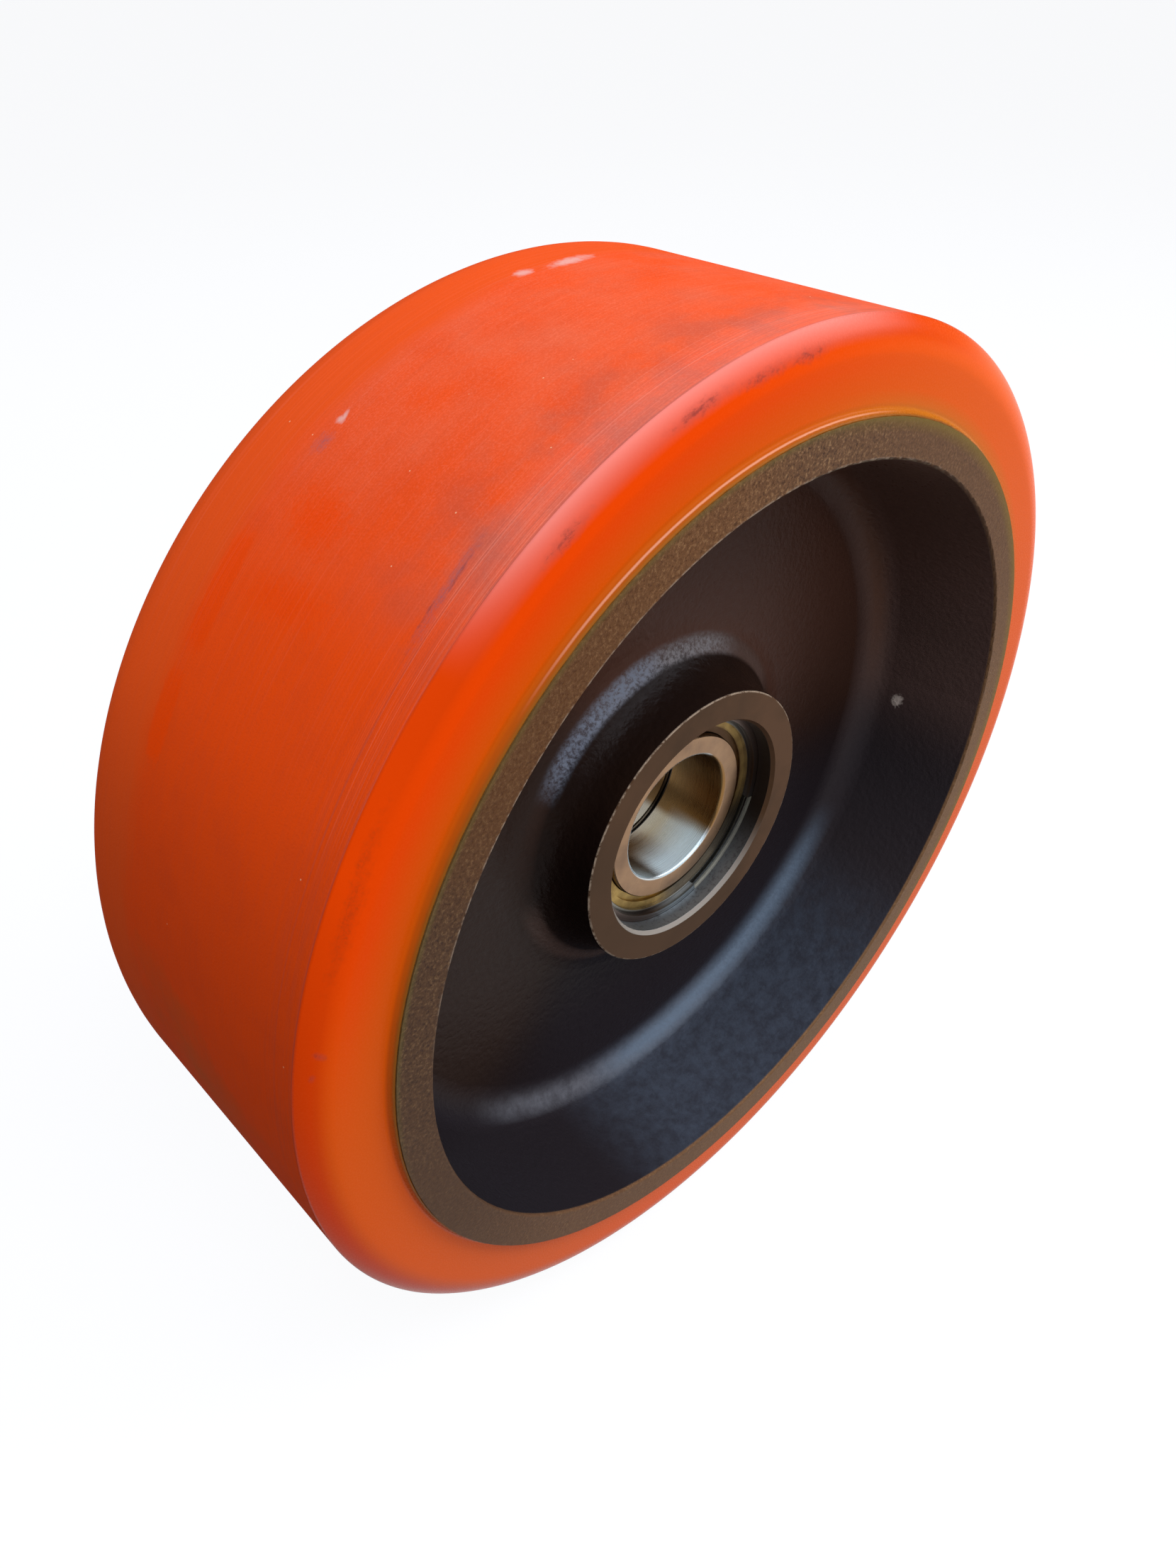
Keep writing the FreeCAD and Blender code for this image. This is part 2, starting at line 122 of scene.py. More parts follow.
# every finish has its places, patterns and shares by name, from tables in the piece's dictionary:
# clouds: cells per mm, detail, roughness
# lines, drawn out round the wheel: across which place, cells round, cells per mm, detail, roughness
# marks at: degrees from +X towards +Z, mm along the axle, radius, length round, width, slant in degrees
# sums: a pattern, times a number, plus a place; spans: a source, from, to, and what these give if not 0 and 1
# bands: a middle in mm along the axle, 0 at this many mm from it, 1 at this many
# sectors: middle in degrees from +X towards +Z, full for these degrees to both sides, gone at these
# both: the product; either: the larger, the second one weighted; beside: what is left of another
# layers, from below up: a tone, then the shares that have to meet where it lies
def wheelShares(tree, look):
    spot = addNode(tree, "TexCoord").outputs["Object"]
    point = addNode(tree, "VectorMath", {0: spot, 3: 1 / mm}, operation="SCALE")
    flat = addNode(tree, "VectorMath", {0: point, 1: (1, 0, 1)}, operation="MULTIPLY")
    ring = addNode(tree, "VectorMath", {0: flat}, operation="NORMALIZE")
    along = addNode(tree, "SeparateXYZ", {0: point}).outputs["Y"]
    shares = {"point": point, "along": along, "radius": addNode(tree, "VectorMath", {0: flat}, operation="LENGTH"),
              "out": addNode(tree, "Math", {0: along}, operation="ABSOLUTE")}
    for name, (perMm, detail, rough) in look.get("clouds", {}).items():
        shares[name] = addNode(tree, "TexNoise", {"Vector": point, "Scale": perMm, "Detail": detail,
                                                  "Roughness": rough})
    for name, (place, around, perMm, detail, rough) in look.get("lines", {}).items():
        depth = addNode(tree, "CombineXYZ", {"Y": shares[place]})
        lathe = addNode(tree, "VectorMath", {0: ring, 1: depth}, operation="ADD")
        lathe = addNode(tree, "VectorMath", {0: lathe, 1: (around, perMm, around)}, operation="MULTIPLY")
        shares[name] = addNode(tree, "TexNoise", {"Vector": lathe, "Scale": 1.0, "Detail": detail,
                                                  "Roughness": rough})
    for name, marks in look.get("marks", {}).items():
        shares[name] = markShare(tree, shares, marks)
    for name, (pattern, times, place) in look.get("sums", {}).items():
        shares[name] = addNode(tree, "Math", {0: shares[pattern], 1: times, 2: shares[place]},
                               operation="MULTIPLY_ADD")
    for table, ease in (("spans", "LINEAR"), ("softSpans", "SMOOTHSTEP")):
        for name, (source, start, end, *gives) in look.get(table, {}).items():
            low, high = gives or (0.0, 1.0)
            shares[name] = addNode(tree, "MapRange", {"Value": shares[source], "From Min": start, "From Max": end,
                                                      "To Min": low, "To Max": high}, interpolation_type=ease)
    for name, (middle, outer, inner) in look.get("bands", {}).items():
        off = addNode(tree, "Math", {0: along, 1: middle}, operation="SUBTRACT")
        off = addNode(tree, "Math", {0: off}, operation="ABSOLUTE")
        shares[name] = addNode(tree, "MapRange", {"Value": off, "From Min": outer, "From Max": inner})
    for name, degrees in look.get("sectors", {}).items():
        shares[name] = sector(tree, ring, *degrees)
    for name, (first, *others) in look.get("both", {}).items():
        shares[name] = shares[first]
        for other in others:
            shares[name] = addNode(tree, "Math", {0: shares[name], 1: shares[other]}, operation="MULTIPLY")
    for name, (first, second, weight) in look.get("either", {}).items():
        weaker = addNode(tree, "Math", {0: shares[second], 1: weight}, operation="MULTIPLY")
        shares[name] = addNode(tree, "Math", {0: shares[first], 1: weaker}, operation="MAXIMUM")
    for name, other in look.get("beside", {}).items():
        shares[name] = addNode(tree, "Math", {0: 1.0, 1: shares[other]}, operation="SUBTRACT")
    return shares


def paintOver(tree, tone, layers, tones, shares):  # lays tones over one another
    for name, *where in layers:
        found = [shares[share] if isinstance(share, str) else share for share in where]
        cover = found[0]
        for share in found[1:]:
            cover = addNode(tree, "Math", {0: cover, 1: share}, operation="MULTIPLY")
        tone = addNode(tree, "Mix", {0: cover, 6: tone, 7: tones[name]}, data_type="RGBA")
    return tone


def dress(material, *names):  # puts a finish on CAD nodes
    for name in names:
        mesh = nodes[name].data
        mesh.materials.clear()
        mesh.materials.append(material)


tyreLook = {
    # shape in mm: section, the fine crease beside the shoulder (mm on, mm deep), the thin lip on the rim
    "treadRadius": 142.5, "halfWidth": 49.5, "frontRound": 11.0, "rearRound": 14.0,
    "sideRadii": (124.4, 126.0, 128.5, 131.0, 133.0), "rearSideRadii": (127.0, 125.5, 124.4),
    "creaseAt": -45.8, "creaseClimb": ((0.22, 0.16), (0.4, 0.096), (0.62, 0.02), (0.85, 0.0)), "treadStart": 1.4,
    "lipUnder": 121.9, "lipEnd": 51.6, "lipTip": 122.3, "lipBend": (122.45, 51.2), "lipFoot": 123.2,
    "lipFillet": 0.9, "raggedFrom": 50.9, "raggedDeep": 0.12, "raggedWaves": 90,
    "segments": 720, "shoulderSteps": 18, "treadSteps": 24, "filletSteps": 8,
    # finish
    "ior": 1.5, "specular": 0.04, "glossTint": "ffb890", "bumpMm": 0.12, "bumpStrength": 0.5,
    "speckPerMm": 0.14, "speckEdge": (0.034, 0.02), "speckChance": 0.45,
    "tones": {
        "sideOrange": "e84202", "sideAmber": "d45206", "wideAmber": "dc560a", "sideYellow": "e45a04",
        "treadOrange": "e6480c", "bandOrange": "e04e16", "dust": "ca7558", "dusk": "a85a48", "streak": "b04a34",
        "toolPale": "f4a084", "grime": "b03a20", "leftShadeRed": "7a2c18", "crease": "8e463e", "groundReflection": "86562a",
        "speck": "f0c896", "chip": "dcac9c", "shoulderShade": "c83804", "paintedHighlight": "ffd6cc", "smear": "a0433c",
        "violetSmear": "86565c", "redSmear": "a83410", "soot": "6a2f2a", "lipMid": "b8540e", "lipShade": "9c4a0c",
        "lipOlive": "b0701c", "lipThin": "8a5018", "fold": "ffc8a4"},
    "clouds": {
        "ragged": (0.7, 3.0, 0.5),  # torn edges, 1.4 mm
        "blotch": (0.045, 5.0, 0.6),  # clouds of dust, 22 mm
        "grime": (0.075, 4.0, 0.6),  # clouds of grime, 13 mm
        "grain": (2.0, 4.0, 0.65)},  # grain of the turned face, 0.5 mm, coarser than it is so that it shows
    "lines": {
        "streak": ("along", 5.0, 0.9, 4.0, 0.6),  # streaks of rolling, 1 mm wide and 30 mm long
        "comeAndGo": ("along", 2.75, 0.495, 3.0, 0.5),  # breaks in the tool's lines, 50 mm apart
        "toolLine": ("along", 2.0, 2.6, 2.0, 0.5),  # tool lines, 0.4 mm wide
        "fineLine": ("along", 1.6, 3.0, 3.0, 0.7),  # the last cut, 0.3 mm
        "dash": ("along", 75.0, 2.6, 4.0, 0.7)},  # rubbed dashes, 2 mm long and 0.4 mm wide
    "marks": {
        "cleanStrips": {"deep": 6.0, "square": True, "torn": ("ragged", 0.8), "fade": (1.6, 1.05),
                        "at": [(136.3, 18.0, 142.5, 27.0, 7.0, 4), (148.0, 18.6, 142.5, 21.0, 6.4, 1)]},
        "cleanPatches": {"deep": 6.0, "torn": ("ragged", 1.6), "fade": (1.8, 0.9),
                         "at": [(134.2, -2.0, 142.5, 13.0, 34.0, 8), (127.4, 3.0, 142.5, 16.0, 22.0, -12)]},
        # a painted reflection of brown ground, a strip across the tread at the left
        "groundReflectionStrip": {"deep": 6.0, "torn": ("blotch", 2.4), "fade": (2.0, 1.0),
                       "at": [(182.0, 2.0, 142.5, 60.0, 74.0, 0)]},
        "paleChips": {"deep": 6.0, "torn": ("ragged", 0.9), "fade": (1.55, 0.75),
                      "at": [(95.3, 23.9, 142.5, 5.6, 4.4, 0), (89.9, 22.5, 142.5, 15.5, 5.4, 5),
                             (118.6, 17.7, 142.5, 4.4, 1.5, 24), (119.0, 17.9, 142.5, 2.8, 2.6, 0)]},
        "darkScuffs": {"deep": 1.8, "torn": ("ragged", 1.2), "fade": (1.7, 0.6),
                       "at": [(91.0, -48.8, 138.2, 15.0, 3.0, 0), (96.5, -48.8, 138.2, 19.0, 2.0, 0),
                              (104.0, -48.2, 139.4, 19.0, 2.6, 0), (119.2, -48.5, 138.9, 15.0, 2.6, 0),
                              (164.7, -48.6, 138.5, 3.0, 1.4, 30), (167.0, -48.1, 139.5, 2.4, 0.8, 0),
                              (125.4, -37.0, 142.5, 15.0, 1.0, 7), (129.6, -36.3, 142.5, 8.0, 0.9, 4)]},
        "violetRubs": {"deep": 2.5, "torn": ("ragged", 1.5), "fade": (1.85, 0.75),
                       "at": [(127.0, -36.8, 142.5, 31.0, 3.0, 5), (121.6, 17.2, 142.5, 7.0, 5.0, 0)]},
        "redRubs": {"deep": 2.5, "torn": ("ragged", 1.5), "fade": (1.85, 0.75),
                    "at": [(146.6, -48.4, 140.6, 26.0, 2.2, 0), (152.0, -48.7, 139.0, 32.0, 2.6, 0)]}},
    "sums": {"waver": ("blotch", 14.0, "along"), "dashes": ("darkScuffs", 0.2, "dash")},
    "spans": {
        "side": ("along", -45.5, -45.9), "nearCut": ("along", -33.0, -40.0, 0.25, 1.0),
        "rolled": ("waver", 32.5, 26.0),  # the dust ends in a wavy edge near the rear
        "patchy": ("blotch", 0.35, 0.7, 0.06, 0.34),
        "duskFront": ("along", -14.0, -36.0), "duskCloud": ("grime", 0.38, 0.62), "grimeCloud": ("grime", 0.45, 0.75),
        "streaked": ("streak", 0.45, 0.7), "palePowder": ("grain", 0.5, 0.66), "darkPowder": ("grain", 0.48, 0.34),
        "darkCut": ("fineLine", 0.54, 0.68), "paleCut": ("fineLine", 0.46, 0.34),
        "broken": ("comeAndGo", 0.36, 0.62, 0.3, 0.95),
        "amberRim": ("radius", 133.0, 123.5), "amberFace": ("along", -48.0, -49.2),
        "shoulder": ("along", -49.45, -48.5), "highlightSide": ("along", -49.1, -46.0),
        "highlightTread": ("along", -33.0, -40.0),
        "streaky": ("toolLine", 0.3, 0.65, 0.25, 0.62), "grainy": ("grain", 0.4, 0.6, 0.45, 1.3),
        "dotted": ("dashes", 0.6, 0.76),
        "lipStart": ("out", 49.45, 50.3), "lipTipOut": ("out", 50.6, 51.5),
        "lipFootNear": ("radius", 124.6, 123.3), "oliveNear": ("radius", 127.5, 123.0),
        "gloss": ("grain", 0.3, 0.7, 0.22, 0.32), "matt": ("grain", 0.3, 0.7, 0.72, 0.88)},
    "bands": {"creaseLine": (-45.5, 0.38, 0.152), "cutLine": (-39.3, 0.28, 0.112), "faintLine": (-42.3, 0.2, 0.08),
              "foldLine": (-50.5, 0.32, 0.1)},
    "sectors": {
        "dustAndSheenTop": (90, 20, 47), "farSide": (-35, 80, 108), "toolTop": (106, 24, 46), "duskTop": (103, 18, 34),
        "leftShade": (182, 16, 38), "amberLow": (208, 24, 56), "yellowRight": (-15, 68, 124),
        "highlightTop": (103, 14, 30), "shadeTop": (104, 24, 52), "shadeLeft": (184, 20, 44), "footTop": (98, 34, 62),
        "oliveRight": (20, 44, 74)},
    "either": {"dustAndSheen": ("dustAndSheenTop", "farSide", 0.6), "lined": ("toolTop", "farSide", 0.6),
               "shadedPart": ("shadeTop", "shadeLeft", 0.7), "wiped": ("cleanStrips", "cleanPatches", 1.0)},
    "beside": {"tread": "side", "kept": "wiped"},
    "sideLayers": [("sideAmber", "amberRim"),  # amber towards the rim, where the tyre is thin
                   ("wideAmber", "amberFace", "amberLow", 0.9), ("sideYellow", "yellowRight", 0.85)],
    "layers": [
        ("treadOrange", "rolled"), ("side", "side"),
        # dust and grime on the tread, most of it on top, where the pale dust is partly a painted sheen
        ("dust", "dustAndSheen", "rolled", "tread", "patchy", "kept"),
        ("dusk", "duskFront", "duskCloud", "duskTop", "tread", 0.5), ("streak", "streaked", "nearCut", "tread", 0.3),
        # painted shade: the tread darker red at the left, last on the next line
        ("grime", "grimeCloud", "rolled", "tread", "kept", 0.17), ("leftShadeRed", "leftShade", "tread", 0.22),
        ("sideOrange", "wiped", 0.7), ("toolPale", "palePowder", "dustAndSheen", "rolled", "tread", 0.1),
        # last on the next line: a painted reflection of brown ground on the tread at the left
        ("grime", "darkPowder", "rolled", "tread", 0.14), ("groundReflection", "groundReflectionStrip", 0.4),
        # the tool's last lines beside the shoulder, strongest at the crease
        ("streak", "darkCut", "nearCut", "tread", "lined", 0.34),
        ("toolPale", "paleCut", "nearCut", "tread", "lined", 0.24),
        ("crease", "creaseLine", "broken", 0.45), ("crease", "cutLine", "broken", 0.24),
        ("crease", "faintLine", "broken", 0.1),
        ("speck", "speckNear", "speckChosen", "tread", 0.5), ("chip", "paleChips", 0.7),
        # painted shade on the shoulder, darker at its top and lower left, and a pale painted highlight on it and on
        # the edge of the tread beside it
        ("shoulderShade", "shoulder", "side", "shadedPart", 0.75),
        # painted highlight: a pale band along the shoulder and the tread's edge, near the top
        ("paintedHighlight", "highlightTread", "tread", "highlightTop", 0.05), ("paintedHighlight", "highlightSide", "side", "highlightTop", 0.22),
        # scuffs of black dust: smears with dark dashes rubbed along the way of rolling
        ("smear", "darkScuffs", 0.4), ("violetSmear", "violetRubs", "streaky", "grainy"),
        ("redSmear", "redRubs", "streaky", "grainy"), ("soot", "dotted", "darkScuffs", 0.6),
        # the lip thins out over the dark rim, so the iron shows through it; painted shade at its foot near the top
        ("lipMid", "lipStart"), ("lipShade", "lipFootNear", "side", "footTop", 0.55),
        ("lipOlive", "oliveNear", "oliveRight", 0.6), ("lipThin", "lipTipOut"),
        # a painted highlight along the fold of the lip, near the top
        ("fold", "foldLine", "highlightTop", 0.34)],
}


def roundCorner(before, corner, after, radius, count):  # points of a round between two straight runs
    toBefore = (Vector(before) - Vector(corner)).normalized()
    toAfter = (Vector(after) - Vector(corner)).normalized()
    half = toBefore.angle(toAfter) / 2
    centre = Vector(corner) + (toBefore + toAfter).normalized() * radius / math.sin(half)
    first = Vector(corner) + toBefore * radius / math.tan(half) - centre
    last = Vector(corner) + toAfter * radius / math.tan(half) - centre
    sweep = math.atan2(first.x * last.y - first.y * last.x, first.dot(last))
    points = []
    for step in range(count + 1):
        turn = sweep * step / count
        spoke = Vector((first.x * math.cos(turn) - first.y * math.sin(turn),
                        first.x * math.sin(turn) + first.y * math.cos(turn)))
        points.append(tuple(centre + spoke))
    return points


def tyreProfile():  # (radius, along) in mm, from the front lip over the tread to the rear lip
    look = tyreLook
    side, crease, top = look["halfWidth"], look["creaseAt"], look["treadRadius"]
    run, rearRun, steps = look["frontRound"], look["rearRound"], look["shoulderSteps"]
    drop = math.sqrt(run ** 2 - (side - run + crease) ** 2)
    first = top - drop
    tip, foot = (look["lipTip"], look["lipEnd"]), (look["lipFoot"], side)
    lip = [(look["lipUnder"], look["lipEnd"]), tip, look["lipBend"]]
    lip += roundCorner(tip, foot, (first, side), look["lipFillet"], look["filletSteps"])
    profile = [(radius, -along) for radius, along in lip]
    profile += [(radius, -side) for radius in look["sideRadii"]]
    steep = math.asin(drop / run)
    for step in range(steps + 1):  # front shoulder, from the side face to the crease
        turn = steep * step / steps
        profile.append((first + run * math.sin(turn), run - side - run * math.cos(turn)))
    profile += [(top - deep, crease + on) for on, deep in look["creaseClimb"]]
    start, rear, treadSteps = crease + look["treadStart"], side - rearRun, look["treadSteps"]
    profile += [(top, start + (rear - start) * step / treadSteps) for step in range(treadSteps + 1)]
    for step in range(1, steps + 1):  # rear shoulder, a full round
        turn = math.pi / 2 * step / steps
        profile.append((top - rearRun * (1 - math.cos(turn)), rear + rearRun * math.sin(turn)))
    profile += [(radius, side) for radius in look["rearSideRadii"]]
    return profile + lip[::-1]


# cast polyurethane, its tread turned to size: moulded sides with a soft gloss, a dusty matt tread with tool lines
def castPolyurethane():
    material, tree = newMaterial("castPolyurethane")
    look, tones = tyreLook, dict(tyreLook["tones"])
    shares = wheelShares(tree, look)

    # scattered pale specks, about 0.6 mm across, in some of the cells of a 7 mm mesh
    cells = addNode(tree, "TexVoronoi", {"Vector": shares["point"], "Scale": look["speckPerMm"]})
    outer, inner = look["speckEdge"]
    shares["speckNear"] = addNode(tree, "MapRange", {"Value": cells.outputs["Distance"], "From Min": outer,
                                                     "From Max": inner})
    chance = addNode(tree, "SeparateXYZ", {0: cells.outputs["Color"]})
    shares["speckChosen"] = addNode(tree, "Math", {0: chance.outputs["X"], 1: look["speckChance"]},
                                    operation="GREATER_THAN")

    tones["side"] = paintOver(tree, tones["sideOrange"], look["sideLayers"], tones, shares)
    tone = paintOver(tree, tones["bandOrange"], look["layers"], tones, shares)
    rough = addNode(tree, "Mix", {0: shares["tread"], 2: shares["gloss"], 3: shares["matt"]}, data_type="FLOAT")
    height = addNode(tree, "Math", {0: shares["toolLine"], 1: shares["nearCut"], 2: shares["grain"]},
                     operation="MULTIPLY_ADD")
    height = addNode(tree, "Math", {0: height, 1: shares["tread"]}, operation="MULTIPLY")
    bump = addNode(tree, "Bump", {"Height": height, "Strength": look["bumpStrength"], "Distance": look["bumpMm"] * mm})
    finishMaterial(tree, {"Base Color": tone, "Roughness": rough, "Normal": bump, "IOR": look["ior"],
                          "Specular IOR Level": look["specular"], "Specular Tint": look["glossTint"]})
    return material


def addTyre():
    profile = tyreProfile()
    count = tyreLook["segments"]
    points = []
    for step in range(count):
        turn = 2 * math.pi * step / count
        spot = Vector((math.cos(turn), 0, math.sin(turn)))
        for radius, along in profile:
            if abs(along) > tyreLook["raggedFrom"]:  # the lip ends in an uneven edge
                wave = spot * tyreLook["raggedWaves"] + Vector((0, along, 0))
                radius += tyreLook["raggedDeep"] * noise.noise(wave)
            points.append((radius * spot.x * mm, along * mm, radius * spot.z * mm))
    width = len(profile)
    faces = []
    for step in range(count):
        here, there = step * width, (step + 1) % count * width
        faces += [(here + i, here + i + 1, there + i + 1, there + i) for i in range(width - 1)]
        faces.append((here + width - 1, here, there, there + width - 1))
    mesh = bpy.data.meshes.new("castTyre")
    mesh.from_pydata(points, [], faces)
    mesh.validate()
    mesh.shade_smooth()
    tyre = bpy.data.objects.new("castTyre", mesh)
    bpy.context.scene.collection.objects.link(tyre)
    mesh.materials.append(castPolyurethane())
    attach(tyre, "wheel")
    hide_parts("polyurethane_tread")
    print("tyre turned:", len(faces), "faces")


coreLook = {
    "bareRough": 0.5, "specular": 0.06, "bumpMm": 0.3, "bumpStrength": 0.8,
    "tones": {
        "paint": "1a100c", "paintPale": "24160f", "webBrown": "482d22", "webLeft": "2e211b", "webLow": "211b1d",
        "wallDark": "221d1f", "wallBrown": "604a42", "wallPale": "765b50", "wallGrey": "302a2b", "dustBlue": "3a3e46",
        "cornerBlue": "5a6672", "cornerGrey": "545356", "cornerBrown": "664433", "wallChip": "c6b6a6",
        "filletPale": "756f6d", "filletBlue": "6e727c", "filletBrown": "4c3a32",
        "machined": "64452d", "grainDark": "2f2017", "grainPale": "96734f", "rimStain": "6a5c2e",
        "rimAmber": "7e6426", "rimWarm": "7c4a1c", "hubFace": "573d29", "hubShade": "44301f", "edge": "a8937c",
        "seatSteel": "7c8182", "seatDark": "382f29", "grooveSteel": "a8a69c", "chamferPale": "8c8377"},
    "clouds": {
        "peel": (0.55, 3.0, 0.55),  # orange peel of the paint, 1.8 mm
        "lumps": (0.16, 3.0, 0.5),  # lumps of the casting, 6 mm
        "cloud": (0.03, 5.0, 0.6),  # thick and thin paint, 33 mm
        "grain": (1.15, 5.0, 0.8),  # graphite grain of the cut iron, 0.9 mm, coarser than it is so that it shows
        "fleck": (0.9, 5.0, 0.7),  # flecks of dust, 1.1 mm
        "clump": (0.22, 5.0, 0.7)},  # clots of dust, 5 mm
    "marks": {"wallChips": {"deep": 3.0, "torn": ("fleck", 1.4), "fade": (1.6, 1.1),
                            "at": [(-5.0, -24.1, 110.0, 6.4, 5.0, 20)]}},
    "sums": {"castRelief": ("lumps", 0.8, "peel")},
    "spans": {
        "rimFace": ("out", 51.0, 51.4), "hubEnd": ("out", 28.1, 28.35), "hubSide": ("radius", 44.0, 43.5),
        "inHub": ("radius", 38.0, 37.8), "seatDepth": ("out", 27.35, 27.3), "chamfer": ("radius", 34.95, 34.85),
        "groove": ("radius", 34.1, 34.5), "stainNear": ("radius", 120.6, 121.9), "amberNear": ("radius", 118.6, 121.9),
        "web": ("out", 14.0, 11.5), "wall": ("radius", 98.0, 108.0), "cornerIn": ("out", 11.0, 13.2),
        "cornerOut": ("out", 18.0, 14.4), "cornerFar": ("radius", 90.0, 98.0),
        "rimEdge": ("radius", 113.2, 112.7), "hubEdge": ("radius", 42.7, 43.0),
        "mottle": ("fleck", 0.4, 0.6, 0.25, 1.1), "faint": ("fleck", 0.35, 0.65, 0.72, 1.0),
        "clotted": ("clump", 0.36, 0.66, 0.5, 1.1), "seatWorn": ("fleck", 0.5, 0.66),
        "nicked": ("peel", 0.4, 0.55), "satin": ("peel", 0.3, 0.7, 0.26, 0.4)},
    "softSpans": {"filletIn": ("radius", 47.8, 49.6), "filletOut": ("radius", 54.8, 51.2)},
    "sectors": {
        "grainTop": (132, 32, 66), "rimDull": (168, 24, 68), "rimKeen": (-42, 10, 80), "warmTop": (122, 12, 34),
        "stainTop": (115, 45, 80), "amberRight": (20, 44, 74), "hubDull": (215, 30, 120),
        "webTop": (84, 30, 116), "webSide": (176, 30, 70), "webFoot": (-72, 42, 70),
        "wallTop": (46, 30, 74), "wallRight": (-30, 8, 30), "wallFoot": (-76, 15, 42), "wallUpper": (50, 18, 40),
        "cornerTop": (48, 18, 56), "cornerLeft": (-100, 18, 38), "cornerFoot": (-68, 20, 40),
        "filletFoot": (-138, 18, 38), "filletRight": (52, 14, 34), "filletTop": (90, 14, 40),
        "filletLeft": (120, 14, 32), "chamferFoot": (-105, 35, 85), "seatTop": (32, 50, 90), "edgeTop": (112, 36, 62)},
    "both": {"hubEndFace": ("hubEnd", "hubSide"), "seat": ("seatDepth", "inHub"),
             "corner": ("cornerIn", "cornerOut", "cornerFar"), "fillet": ("filletIn", "filletOut")},
    "either": {"faced": ("rimFace", "hubEndFace", 1.0), "bare": ("faced", "inHub", 1.0)},
    "beside": {"cast": "bare", "plainRim": "grainTop"},
    "rimRamp": [(0.37, "grainDark"), (0.47, "machined"), (0.53, "machined"), (0.63, "grainPale")],
    # the rim face: its dark grain tone as painted shade at the left, its pale grain tone as a painted sheen at the
    # lower right
    "rimLayers": [("machined", "plainRim", 0.62), ("grainDark", "rimDull", 0.5), ("grainPale", "rimKeen", 0.24),
                  ("rimWarm", "warmTop", 0.28), ("rimStain", "stainNear", "stainTop", 0.5),
                  ("rimAmber", "amberNear", "amberRight", 0.7)],
    "hubRamp": [(0.35, "hubShade"), (0.6, "hubFace")],
    # painted shade: the hub's face darker at the lower left
    "hubLayers": [("hubShade", "hubDull", 0.7)],
    # painted light and shade in the dish: the web browner on top, a painted warm light; the wall browner and paler at
    # the top, painted light in its shade, and a grey-blue painted reflection at its foot; painted grey and blue
    # highlights low in the corner; painted highlights on the hub's fillet above and brown painted light at its sides
    "paintRamp": [(0.35, "paint"), (0.75, "paintPale")],
    "paintLayers": [
        ("webBrown", "web", "webTop"), ("webLeft", "web", "webSide"), ("webLow", "web", "webFoot"),
        ("wallDark", "wall"), ("wallBrown", "wall", "wallTop"), ("wallGrey", "wall", "wallRight"),
        ("dustBlue", "wall", "wallFoot", "clotted"), ("wallPale", "wall", "wallUpper"),
        ("cornerBrown", "corner", "cornerTop"), ("cornerGrey", "corner", "cornerLeft", "clotted"),
        ("cornerBlue", "corner", "cornerFoot", "faint"), ("filletBrown", "fillet", "filletFoot"),
        ("filletBrown", "fillet", "filletRight"), ("filletPale", "fillet", "filletTop", "mottle"),
        ("filletBlue", "fillet", "filletLeft", "mottle"), ("wallChip", "wallChips")],
    # the seat: painted shade at its top, darker flecks, and the groove painted lighter against its shade
    "seatLayers": [("seatDark", "seatTop"), ("seatDark", "seatWorn", 0.5), ("grooveSteel", "groove")],
    # the chamfer paler at the bottom, painted light
    "bareLayers": [("rim", "rimFace"), ("chamferPale", "chamfer", "chamferFoot"), ("seat", "seat")],
    # paint worn through along the cut edges
    "layers": [("bare", "bare"), ("edge", "rimEdge", "rimFace", "edgeTop", "nicked", 0.8),
               ("edge", "hubEdge", "hubEndFace", "nicked", 0.8)],
}


# cast iron, sprayed black over the raw casting, then faced on the rim and the hub: satin orange peel and bare
# brown faces
def paintedCastIron():
    material, tree = newMaterial("paintedCastIron")
    look, tones = coreLook, dict(coreLook["tones"])
    shares = wheelShares(tree, look)
    for part, pattern in (("rim", "grain"), ("hub", "cloud"), ("paint", "cloud")):
        stops = [(place, tones[name]) for place, name in look[part + "Ramp"]]
        tone = addNode(tree, "ValToRGB", {"Fac": shares[pattern]}, stops)
        tones[part] = paintOver(tree, tone, look[part + "Layers"], tones, shares)
    tones["seat"] = paintOver(tree, tones["seatSteel"], look["seatLayers"], tones, shares)
    tones["bare"] = paintOver(tree, tones["hub"], look["bareLayers"], tones, shares)
    tone = paintOver(tree, tones["paint"], look["layers"], tones, shares)
    rough = addNode(tree, "Mix", {0: shares["bare"], 2: shares["satin"], 3: look["bareRough"]}, data_type="FLOAT")
    height = addNode(tree, "Math", {0: shares["castRelief"], 1: shares["cast"]}, operation="MULTIPLY")
    height = addNode(tree, "Math", {0: shares["grain"], 1: shares["rimFace"], 2: height}, operation="MULTIPLY_ADD")
    bump = addNode(tree, "Bump", {"Height": height, "Strength": look["bumpStrength"], "Distance": look["bumpMm"] * mm})
    finishMaterial(tree, {"Base Color": tone, "Roughness": rough, "Metallic": shares["seat"], "Normal": bump,
                          "Specular IOR Level": look["specular"]})
    return material


